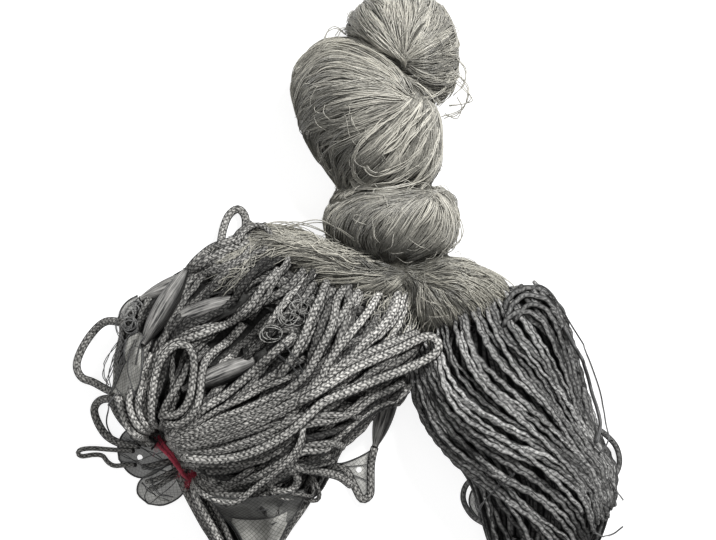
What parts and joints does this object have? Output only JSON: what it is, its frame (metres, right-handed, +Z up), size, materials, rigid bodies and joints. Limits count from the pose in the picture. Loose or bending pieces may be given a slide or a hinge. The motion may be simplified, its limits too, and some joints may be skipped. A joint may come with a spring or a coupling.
{
  "type": "bundled gill net",
  "caption": "Fine netting twisted into a knotted skein, its braided float line with spindle floats looped in a tied hank on one side and its lead line hanked on the other",
  "frame": {"origin": "The middle of the bundle's footprint, on the surface that it lies on", "axes": "+Z up from the surface, +Y from the two line hanks to the knotted end of the netting, +X from the float line to the lead line"},
  "size_m": [0.5596, 0.601, 0.1063],
  "materials": {
    "netting": "matte",
    "float_line": "matte",
    "lead_line": "matte",
    "float": "satin",
    "tie": "matte"
  },
  "bodies": {
    "root": {"netting": "netting", "float_line_hank": "float_line", "float_line_loop_back": "float_line", "float_line_loop_left": "float_line", "float_line_loop_corner": "float_line", "float_line_loop_tip": "float_line", "float_line_tail": "float_line", "lead_line_hank": "lead_line", "lead_line_loop_right": "lead_line", "lead_line_loop_left": "lead_line", "float_1": "float", "float_2": "float", "float_3": "float", "float_4": "float", "float_5": "float", "tie": "tie"}
  },
  "joints": []
}
